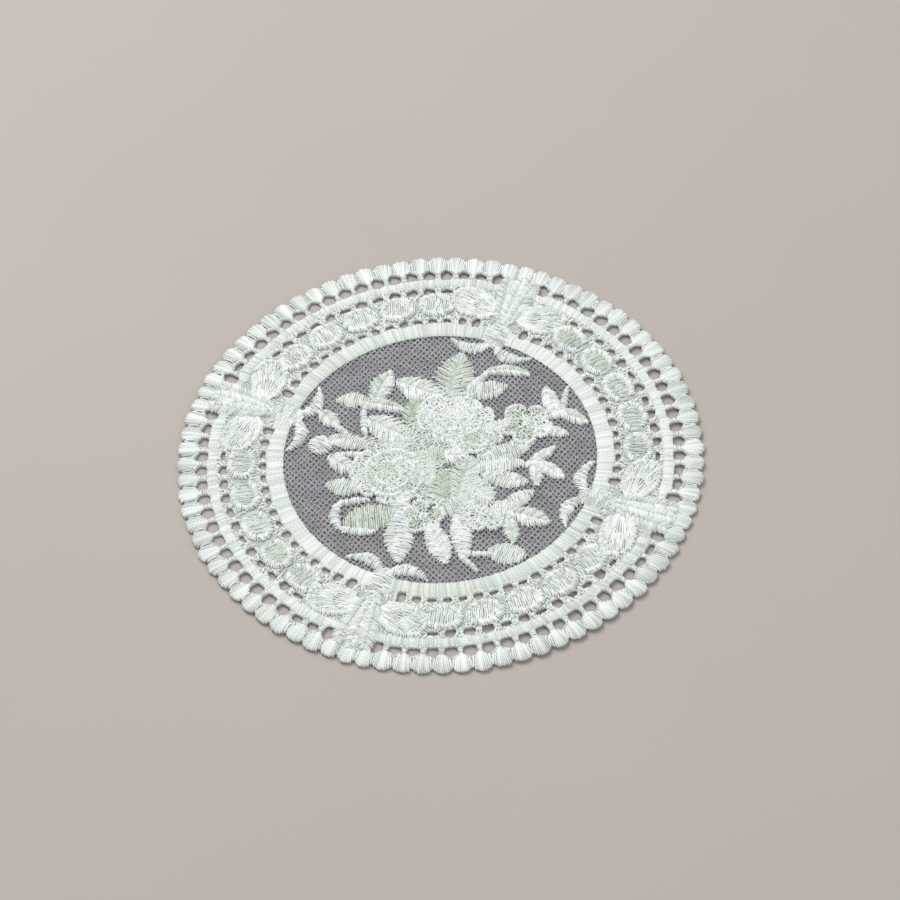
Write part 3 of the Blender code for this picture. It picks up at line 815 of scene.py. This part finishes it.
def ground_ring():
    curve = bpy.data.curves.new("lace_ground", "CURVE")
    curve.dimensions = "2D"
    curve.fill_mode = "BOTH"
    curve.extrude = ((GROUND[1] - GROUND[0]) / 2 - GROUND_BEVEL) * MM
    curve.bevel_depth = GROUND_BEVEL * MM
    curve.bevel_resolution = 1
    curve.offset = -GROUND_BEVEL * MM
    inner = [polar(BORDER_R, 3 * i) for i in range(120)]
    for outline in (scallop_edge(GROUND_INSET), inner, *EYELETS):
        spline = curve.splines.new("POLY")
        spline.points.add(len(outline) - 1)
        for point, (x, y) in zip(spline.points, outline):
            point.co = (x * MM, y * MM, 0, 1)
        spline.use_cyclic_u = True
    carrier = put("lace_ground", curve)
    mesh = bpy.data.meshes.new_from_object(carrier.evaluated_get(bpy.context.evaluated_depsgraph_get()))
    bpy.data.objects.remove(carrier)
    bm = bmesh.new()
    bm.from_mesh(mesh)
    bmesh.ops.remove_doubles(bm, verts=bm.verts, dist=WELD_MM * MM)
    bmesh.ops.recalc_face_normals(bm, faces=bm.faces)
    for vert in bm.verts:
        vert.co.z += (sum(GROUND) / 2 + lift(vert.co.x / MM, vert.co.y / MM)) * MM
    open_edges = sum(1 for edge in bm.edges if len(edge.link_faces) != 2)
    bm.to_mesh(mesh)
    bm.free()
    mesh.materials.clear()
    mesh.materials.append(SHADED_UNDERLAY)
    piece = put("lace_ground", mesh)
    print("lace_ground:", triangles(piece), "triangles,", open_edges, "open edges")
    return piece


lace_ground = ground_ring()

# %% [markdown]
# ## Bands, eyelet rims and the scalloped edge
# Two bands of satin run round the border, each a ring of stitches that all point to the
# middle. Every eyelet is bound with short stitches that go over its edge and down
# through the hole, which is what keeps a real eyelet open. Each scallop is a fan of
# stitches that spread from the bar between two eyelets, and one side of a fan lies a
# little over its neighbour.

# %% Satin bands
HOLE_REACH = 7.0  # no eyelet is longer
TAPE_SPACING = 0.46  # the bands are sewn finer than the rest, so they look smooth
TAPE_SHEEN_TINTS = (0.40, 0.10, 0.45, 0.08)  # by quarter: whiter in some quarters, a painted sheen of the satin catching the light, and sager in the others
TAPE_SLANT = 0.1  # in degrees


def inside(point, outline):
    """Whether a point lies in a closed outline."""
    x, y = point
    crossed = False
    for (x0, y0), (x1, y1) in zip(outline, outline[1:] + outline[:1]):
        if (y0 > y) != (y1 > y) and x < x0 + (y - y0) * (x1 - x0) / (y1 - y0):
            crossed = not crossed
    return crossed


def in_a_hole(point):
    return any(math.dist(point, outline[0]) < HOLE_REACH and inside(point, outline) for outline in EYELETS)


def band(inner, outer):
    """A ring of stitches that point to the middle, each cut short where it would cross an eyelet."""
    middle = (inner + outer) / 2
    count = round(2 * math.pi * middle / TAPE_SPACING)
    for k in range(count):
        degrees = 360 * (k + 0.5) / count
        # painted sheen: a lower tint makes the tape whiter in the quarters where the satin catches the light
        tint = TAPE_SHEEN_TINTS[int((degrees - BOW_DEG) % 360 // QUARTER_DEG)]
        ends = []
        for radius, slant in ((inner, -TAPE_SLANT), (outer, TAPE_SLANT)):
            reach = 1.0
            while reach > 0.3 and in_a_hole(polar(middle + (radius - middle) * (reach + 0.1), degrees)):
                reach -= 0.1
            ends.append(polar(middle + (radius - middle) * reach, degrees + slant))
        if math.dist(*ends) > 0.7 and not in_a_hole(polar(middle, degrees)):
            yield stitch(*ends, FOOT, BAND_TOP, tint, TAPE, 0.12, 0.03)


satin_tapes = sew("satin_tapes", [*band(*INNER_BAND), *band(*OUTER_BAND)], seed=3, radius=0.30)


# %% Eyelet rims
RIM_STEP = 0.62
RIM_REACH = 0.95  # how far a rim stitch reaches outwards from its hole
RIM_HEIGHTS = (0.62, 1.02, 0.96, 0.34)  # from there up, over, and down at the hole's edge
RIM_TINT = 0.06


def rim_stitches(outline):
    """Short stitches over the edge of an eyelet and down into it."""
    for (x, y), (dx, dy), _ in walk(outline, RIM_STEP, True):
        reach = RIM_REACH + chance.uniform(-0.12, 0.25)
        # outlines run anticlockwise, so (dy, -dx) points out of the hole
        points = [(x + dy * away, y - dx * away, z)
                  for away, z in zip((reach, reach * 0.6, 0.34, 0.24), RIM_HEIGHTS)]
        yield thread_over(points, RIM_TINT)


RIMS = [one for outline in EYELETS for one in rim_stitches(outline)]
eyelet_rims = sew("eyelet_rims", RIMS, seed=5, radius=0.27)


# %% Scallop fans
FAN_COUNT = 10
FAN_ROOT_R = 69.1  # where the middle stitch of a fan starts
FAN_ROOT_STEP = 2.4  # the outermost ones start this much further out
FAN_TIP_INSET = 0.22
FAN_TOP = 1.02
FAN_OVERLAP = 0.12  # how much higher one side of a fan lies
FAN_SHARES = (0.0, 0.12, 0.55, 0.92, 1.0, 0.99)  # the last one turns back under the edge


def fan_stitches(centre, half):
    """One scallop: stitches that spread from the bar to the edge, and wrap over it."""
    grown, heaped, tint = chance.uniform(-0.30, 0.12), chance.uniform(-0.06, 0.12), chance.uniform(0.0, 0.2)
    for k in range(FAN_COUNT):
        side = (k + 0.5) * 2 / FAN_COUNT - 1
        tip = NOTCH_R + rise_at(LOBE, side) * (TIP_R - NOTCH_R) - FAN_TIP_INSET + grown
        edge = polar(tip + chance.uniform(-0.22, 0.14), centre + 1.03 * side * half)
        root = polar(FAN_ROOT_R + FAN_ROOT_STEP * abs(side) ** 1.5,
                     centre + (0.30 + 0.62 * abs(side)) * side * half)
        top = FAN_TOP + FAN_OVERLAP * side + heaped
        heights = (FOOT, top - 0.12, top, top - 0.10, 0.70, 0.30)
        yield thread_over([(*between(root, edge, share), z) for share, z in zip(FAN_SHARES, heights)], tint)


FANS = [one for scallop in scallops() for one in fan_stitches(*scallop)]
scallop_fans = sew("scallop_fans", FANS, seed=7, radius=0.29)

# %% [markdown]
# ## Shells and bows
# Between the eyelets a chain of oval shells runs from bow to bow. A shell is a patch with
# a white rim bent round it like a horseshoe, open towards the shell before it. A bow has
# a centre fold in three pleats that open towards the edge, two loops whose stitches fan
# out from the knot, the knot, and two curled tails that hang over the net.

# %% Shells between the bows
SHELLS_PER_QUARTER = 5
SHELL_START = 21.6
SHELL_STEP = (QUARTER_DEG - 2 * SHELL_START) / (SHELLS_PER_QUARTER - 1)
SHELL_TINTS = (0.30, 0.60, 0.30, 0.80)  # by quarter


def shells():
    for bow, sage in zip(BOWS, SHELL_TINTS):
        for i in range(SHELLS_PER_QUARTER):
            degrees = bow + SHELL_START + SHELL_STEP * i
            tint = sage * chance.uniform(0.8, 1.2)
            yield patch("across", *polar(SHELL_R, degrees), degrees + 90, 10.6, 8.2,
                        tints=(tint, tint / 2), top=SHELL_TOP)


SHELLS = list(shells())
SHELL_RIMS = edges_of([one._replace(length=9.8, width=7.4) for one in SHELLS], 1.8, 0.34, 155, 0.04, 0.3)
ribbon_shells = sew_patches("ribbon_shells", SHELLS, FOOT, 9, SHELL_RIMS)

# %% The four bows
PLEATS = [
    patch("leaf", 2.8 * k, 61.8 - 0.3 * abs(k), 90 - 8 * k, 20.0 - 0.6 * abs(k), 4.8, 0.1, 0.3,
          tints=(0.22, 0.42) if k else (0.0, 0.12), top=1.46 if k else 1.64)
    for k in (-1, 1, 0)]
LOOPS = [
    patch("petal", 9.2 * side, 57.2, 90 - 81 * side, 17.0, 9.6, 0.2, 0.25, 0, (0.05, 0.35), LOOP_TOP)
    for side in (1, -1)]
TAILS = [
    patch("across", 6.4 * side, 43.4, 90 - 98 * side, 12.4, 3.4, 0.4, -0.35, -0.44 * side, (0.0, 0.08))
    for side in (1, -1)]
KNOT = patch("across", 0.0, 47.6, 90, 10.4, 7.6, 0.2, 0, 0, (0.15, 0.25), 1.70)


def on_bows(patches):
    """Patches drawn for an upright bow, turned to all four bows."""
    turned = []
    for bow in BOWS:
        for one in patches:
            x, y = rotated(one.x, one.y, bow - 90)
            turned.append(one._replace(x=x, y=y, angle=one.angle + bow - 90))
    return turned


LOOP_RIMS = edges_of(on_bows(LOOPS), 1.4, 0.16, 130, 0.05, 0.3)
bow_loops = sew_patches("bow_loops", on_bows(LOOPS + PLEATS), FOOT, 11, LOOP_RIMS)
bow_knots = sew_patches("bow_knots", on_bows(TAILS + [KNOT]), NET_FOOT, 13)

# %% Seed stitches over the ground
SEED_ZONE = (50.2, 64.6)
GROUND_ROW = 0.95
GROUND_STEP = 1.1
GROUND_REACH = 0.72
MOAT = 0.50  # bare ground left round shells and bows; the ground's colour is painted dark as shade, so it draws their outline
RAISED = SHELLS + on_bows(LOOPS + PLEATS)


def near(one, point):
    """Whether a point lies in a patch or in the moat round it."""
    along, across = rotated(point[0] - one.x, point[1] - one.y, -one.angle)
    return (along / (one.length / 2 + MOAT)) ** 2 + (across / (one.width / 2 + MOAT)) ** 2 < 1


def seed_stitches():
    """Short stitches over the ground between tapes, shells and bows; most point to the middle."""
    for i in range(round((SEED_ZONE[1] - SEED_ZONE[0]) / GROUND_ROW)):
        radius = SEED_ZONE[0] + GROUND_ROW * (i + 0.5)
        count = round(2 * math.pi * radius / GROUND_STEP)
        for k in range(count):
            degrees = 360 * (k + 0.5 * (i % 2) + jitter(0.25)) / count
            x, y = polar(radius + jitter(0.3), degrees)
            dx, dy = polar(GROUND_REACH, degrees + jitter(45))
            top, tint = chance.uniform(0.92, 1.12), chance.uniform(0.0, 0.35)
            spots = ((x + dx, y + dy), (x, y), (x - dx, y - dy))
            if not any(in_a_hole(spot) or any(near(one, spot) for one in RAISED) for spot in spots):
                yield stitch(spots[0], spots[2], FOOT, top, tint, SHORT, 0.05)


seed_ground = sew("seed_ground", seed_stitches(), seed=4, radius=0.28)

# %% [markdown]
# ## The bouquet
# Roses, small flowers and leaves are worked on the net in layers. A low bed of filling
# comes first, then stems and leaves, then flowers over them. A rose's petals get smaller
# and higher towards its heart, and each has a rolled white edge.

# %% Leaves, stems and beds
BED = [patch("seed", *row, tints=(0.35, 0.55), top=BED_TOP) for row in (
    (-4.0, 4.2, 40, 36.0, 20.0),
    (2.0, -12.0, -16, 27.0, 15.0),
    (-15.0, 5.6, 4, 16.0, 7.6),
    (3.4, 21.8, -4, 13.0, 5.0),
)]
# of each leaf: how it is filled, its x, y, angle, length and width, how pointed, tapered
# and bent it is, and its tints
LEAVES = [patch(*row) for row in (
    # along the top, from left to right
    ("leaf", -15.5, 27.0, 65, 13.5, 6.5, 0.8, 0, 0.05, (0.05, 0.60)),
    ("across", -24.0, 22.5, -5, 10.5, 5.0, 0.8, 0, 0.10, 0.25),
    ("leaf", -15.0, 19.5, -18, 12.0, 4.0, 0.8, 0, 0.10, (0.05, 0.50)),
    ("leaf", -4.5, 25.5, -28, 15.5, 8.0, 0.7, 0, -0.05, (0.10, 0.25)),
    ("leaf", 6.0, 30.0, 75, 17.0, 11.0, 0.8, -0.15, 0, (0.50, 0.70)),
    ("leaf", 21.0, 29.0, -8, 14.0, 3.5, 0.7, 0, 0.20, (0, 0.45)),
    ("across", 14.5, 23.5, 8, 13.0, 6.5, 0.5, 0, 0, 0.35),
    # left of the top rose
    ("leaf", -14.0, 11.0, -36, 15.5, 8.5, 0.4, 0, 0, (0.10, 0.25)),
    ("leaf", -7.0, 17.5, 68, 10.5, 5.5, 0.3, 0, 0, 0.90),
    ("across", -3.0, 1.0, 10, 8.5, 5.0, 0.4, 0, 0, 0.80),
    # at the left
    ("across", -26.0, 7.8, -15, 12.0, 5.2, 0.6, 0, 0, 0.25),
    ("across", -34.5, 6.8, 70, 7.0, 6.2, 0.2, 0, 0, 0.15),
    ("leaf", -31.5, 16.5, -50, 8.5, 4.8, 0.7, 0, 0, (0.10, 0.20)),
    ("leaf", -28.5, -0.4, -42, 9.5, 5.4, 0.7, 0.1, 0, (0.10, 0.15)),
    ("across", -28.0, -8.8, -12, 10.5, 6.0, 0.6, 0, 0, 0.35),
    # the curled leaf at the lower left
    ("across", -21.0, -20.5, 10, 15.5, 8.8, 0.3, 0, 0, 0.75),
    ("across", -28.5, -19.5, 92, 12.0, 2.6, 0.2, 0, 0.40),
    ("across", -24.5, -24.5, -12, 10.5, 2.2, 0.2, 0, -0.12),
    ("across", -26.0, -15.0, 8, 11.0, 1.8, 0.3, 0, 0.14, 0.05),
    # along the bottom
    ("across", -13.0, -27.8, 87, 19.0, 7.6, 0.7, 0, 0, 0.12),
    ("across", -12.0, -17.0, 90, 8.0, 5.5, 0.2, 0, 0, 0.15),
    ("leaf", -2.0, -31.2, 106, 15.5, 6.6, 0.7, 0, 0, (0, 0.05)),
    ("across", 4.6, -28.0, 91, 18.0, 5.8, 0.7),
    ("across", 2.5, -18.5, 30, 12.0, 4.8, 0.3, 0, 0, 0.40),
    ("across", 17.2, -36.2, -12, 11.0, 7.0, 0.4, 0, 0, 0.25),
    # at the lower right
    ("leaf", 18.8, -28.0, 96, 10.0, 4.0, 0.7, 0, 0, 0.20),
    ("leaf", 24.2, -24.0, -22, 13.0, 6.0, 0.7, 0, 0.05, (0.10, 0.40)),
    ("across", 21.3, -17.4, 30, 11.5, 4.8, 0.7, 0, 0, 0.30),
    ("across", 16.8, -20.8, 10, 7.0, 6.0, 0.2, 0, 0, 0.30),
    ("leaf", 6.4, -8.6, 74, 17.0, 8.4, 0.3, 0, 0, (0.35, 0.60)),
    ("leaf", 0.4, -10.6, 84, 11.0, 6.8, 0.4, 0, 0, 0.90),
    ("across", 18.0, -9.6, -16, 14.0, 5.6, 0.6, 0, 0, 0.20),
    ("leaf", 10.8, -13.2, -52, 10.5, 6.4, 0.4, 0, 0, (0.20, 0.30)),
    # at the right
    ("across", 18.6, 0.0, 22, 20.0, 6.5, 0.7, -0.1, 0, 0.35),
    ("leaf", 29.0, -2.4, 36, 11.0, 3.4, 0.7, 0, 0, 0.10),
    ("leaf", 27.2, -8.6, 90, 9.0, 3.5, 0.7, 0, 0, 0.10),
    ("leaf", 31.6, -7.6, -45, 9.2, 4.0, 0.7, 0, 0, (0, 0.05)),
    ("across", 17.0, 9.6, 15, 9.0, 4.2, 0.3, 0, 0, 0.30),
    # the sprig beside the right flower
    ("leaf", 33.2, 17.2, -77, 12.5, 4.6, 0.7, 0, 0, (0, 0.05)),
    ("leaf", 39.0, 11.6, -34, 10.0, 4.2, 0.7, 0, 0, (0.10, 0.30)),
    ("across", 33.6, 6.3, -20, 8.5, 3.4, 0.6, 0, 0.05, 0.05),
)]
STEMS = [patch("across", *row, top=STEM_TOP) for row in (
    (-20.0, 20.5, -20, 5.0, 2.5, 0, 0, 0, 0.20),
    (12.4, 27.2, 42, 9.0, 2.0, 0, 0, 0, 0.10),
    (-21.0, 14.5, 90, 12.5, 1.8, 0, 0, 0.05),
    (-30.5, 7.5, 0, 6.0, 1.8, 0, 0, 0, 0.10),
    (-28.0, 12.0, -48, 7.0, 1.8, 0, 0, 0, 0.10),
    (-25.0, 2.8, -5, 11.0, 1.4, 0, 0, 0, 0.10),
    (7.5, -35.5, -5, 7.0, 1.5),
    (11.5, -36.0, -8, 5.0, 1.5, 0, 0, 0, 0.10),
    (6.0, -38.5, -54, 8.5, 1.6, 0, 0, 0, 0.10),
    (16.5, -4.6, 5, 15.0, 4.8, 0.3, 0, 0, 0.20),
    (26.5, -4.8, 0, 8.5, 2.0, 0, 0, 0, 0.10),
    (37.2, 17.0, 79, 12.0, 1.6, 0, 0, 0.05),
    (34.0, 12.5, 18, 10.0, 2.0, 0, 0, 0, 0.10),
)]
bouquet_bed = sew_patches("bouquet_bed", BED, NET_FOOT, 15)
leaves_and_stems = sew_patches("leaves_and_stems", LEAVES + STEMS, NET_FOOT, 17)

# %% Roses, small flowers and the bud
Rose = namedtuple("Rose", "x y radius squash turn tint")
ROSES = (
    Rose(-14.6, -6.2, 12.2, 0.84, 12, 0.55),
    Rose(4.2, 13.2, 11.6, 0.72, -8, 0.22),
    Rose(10.6, 4.6, 7.4, 0.86, 30, 0.80),
)
PETALS_PER_ROSE = 14
GOLDEN_DEG = 137.5  # the turn from one petal to the next, which never repeats
PETAL_STEP = 0.065  # each petal lies this much higher than the one before
ROSE_TOP = 1.26
ROSE_REACH = 0.62  # how far out the outermost petals sit, as a share of the rose's radius
ROSE_PETAL = (0.82, 1.02)  # a petal's length and width, as shares of its size
Flower = namedtuple("Flower", "x y radius petals turn tint")
FLOWERS = (
    Flower(-5.8, -21.8, 5.7, 5, 20, 0.70),
    Flower(11.4, -21.6, 6.2, 5, 18, 0.35),
    Flower(25.4, 9.8, 7.2, 5, 43, 0.50),
)
FLOWER_TOP = 1.40
FLOWER_REACH = 0.56  # where the middle of a petal lies, and the sizes of petal and heart,
FLOWER_PETAL = (0.94, 0.80)  # all as shares of the flower's radius
FLOWER_HEART = (0.40, 0.34)


def rose_petals(rose):
    """Petals from the rim to the heart, each a golden turn on, so that they never line up in rings."""
    for i in range(PETALS_PER_ROSE):
        inward = i / PETALS_PER_ROSE
        turn = rose.turn + GOLDEN_DEG * i + jitter(9)
        x, y = polar(rose.radius * ROSE_REACH * (1 - inward) ** 0.7, turn)
        size = rose.radius * (1.0 - 0.62 * inward) * chance.uniform(0.92, 1.08)
        tint = rose.tint * chance.uniform(0.5, 1.5)
        yield patch("seed", rose.x + x, rose.y + y * rose.squash, turn + jitter(14),
                    *(share * size for share in ROSE_PETAL),
                    taper=0.2, tints=(tint, tint * 0.6), top=ROSE_TOP + PETAL_STEP * i)


def flower_petals(flower):
    """A ring of petals, each a little off its place and its tone, round a raised heart."""
    for i in range(flower.petals):
        turn = flower.turn + 360 * i / flower.petals + jitter(8)
        x, y = polar(FLOWER_REACH * flower.radius, turn)
        size = flower.radius * chance.uniform(0.92, 1.04)
        tint = flower.tint * chance.uniform(0.0, 1.7)
        yield patch("seed", flower.x + x, flower.y + y, turn, *(share * size for share in FLOWER_PETAL),
                    taper=0.3, tints=(tint, tint * 0.6), top=FLOWER_TOP + 0.16 * (i % 2))
    yield patch("seed", flower.x, flower.y, 40, *(share * flower.radius for share in FLOWER_HEART),
                tints=0.1, top=1.74)


PETALS = [petal for rose in ROSES for petal in rose_petals(rose)]
roses = sew_patches("roses", PETALS, NET_FOOT, 19, edges_of(PETALS, 1.0, 0.14, 68))
FLOWER_PARTS = [part for flower in FLOWERS for part in flower_petals(flower)]
FLOWER_EDGES = edges_of(FLOWER_PARTS, 1.0, 0.12, 95)
BUD = patch("leaf", 4.4, -0.3, 0, 6.4, 6.0, top=1.85)
small_flowers = sew_patches("small_flowers", FLOWER_PARTS + [BUD], NET_FOOT, 21, FLOWER_EDGES)

# %% [markdown]
# ## Table, light and camera
# The doily lies on a plain pale table top. A large window-like light stands behind it
# and to the left, so every patch has a bright far side and a soft near side, and a
# weaker one fills the front.

# %% Table top
TABLE_MM = 166.67  # the paint's tone drifts over patches of this size


def table_finish():
    """Matt paint: pale and even, with no gloss that could draw the eye."""
    material, add, shader = new_finish("matt_table_top", {"Roughness": 0.75})
    place = add("ShaderNodeTexCoord").outputs["Object"]
    grain = add("ShaderNodeTexNoise", {"Vector": place, "Scale": 1 / (TABLE_MM * MM), "Detail": 4.0})
    two_tones(add, shader, grain, "#aca49c", "#b3aba3", (0.0, 1.0))
    return material


bpy.ops.mesh.primitive_plane_add(size=8.0, location=(0, 0, 0))
table_top = bpy.context.object
table_top.name = "table_top"
table_top.data.materials.append(table_finish())


# %% Lights
def soft_light(name, place, size, power, colour=(1.0, 1.0, 1.0)):
    light = bpy.data.lights.new(name, "AREA")
    light.size = size
    light.energy = power
    light.color = colour
    lamp = put(name, light)
    lamp.location = place
    lamp.rotation_euler = (-Vector(place)).to_track_quat("-Z", "Y").to_euler()


soft_light("window", (-0.45, 0.75, 1.05), 0.8, 15.4)
soft_light("room", (0.7, -0.8, 0.9), 1.2, 6.5, (0.96, 0.98, 1.0))
world = bpy.data.worlds.new("studio")
world.use_nodes = True
set_inputs(world.node_tree.nodes["Background"], {"Color": (0.95, 0.98, 1.0, 1.0), "Strength": 0.44})
bpy.context.scene.world = world
bpy.context.scene.view_settings.view_transform = "Standard"
print("lights:", [light.name for light in bpy.data.lights])

# %% Camera
LENS_MM = 140.0
DOWN_DEG = 51.6  # how steeply the camera looks down
ROLL_DEG = -3.64
CAMERA_AT = (0.003, -0.623, 0.7895)

lens = bpy.data.cameras.new("camera")
lens.lens = LENS_MM
camera = put("camera", lens)
tilt = Matrix.Rotation(math.radians(90 - DOWN_DEG), 4, "X")
roll = Matrix.Rotation(math.radians(ROLL_DEG), 4, "Z")
camera.matrix_world = Matrix.Translation(CAMERA_AT) @ tilt @ roll
bpy.context.scene.camera = camera
print("camera:", camera.data.lens, "mm lens,", round(Vector(CAMERA_AT).length, 3), "m from the doily")

# %% [markdown]
# ## Hand the pieces to the frame
# Nothing on a doily moves by itself, so every piece rides on the one body. The net and
# the border's ground are the two sheets of cloth, and all embroidery is sewn on them.

# %% Ride and replace
SEWN_ON_BORDER = (satin_tapes, seed_ground, eyelet_rims, scallop_fans, ribbon_shells, bow_loops)
SEWN_ON_NET = (bouquet_bed, leaves_and_stems, roses, small_flowers, bow_knots)
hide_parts("tulle_net")
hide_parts("lace_border")
for piece in (tulle_panel, lace_ground, *SEWN_ON_BORDER, *SEWN_ON_NET):
    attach(piece, "root")
for piece in SEWN_ON_NET[:4]:
    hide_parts("rose_bouquet")


def flat_area(piece):
    """Area of the faces that look straight up, in square metres."""
    return sum(face.area * face.normal.z for face in piece.data.polygons if face.normal.z > 0.2)


ring_area = flat_area(lace_ground)
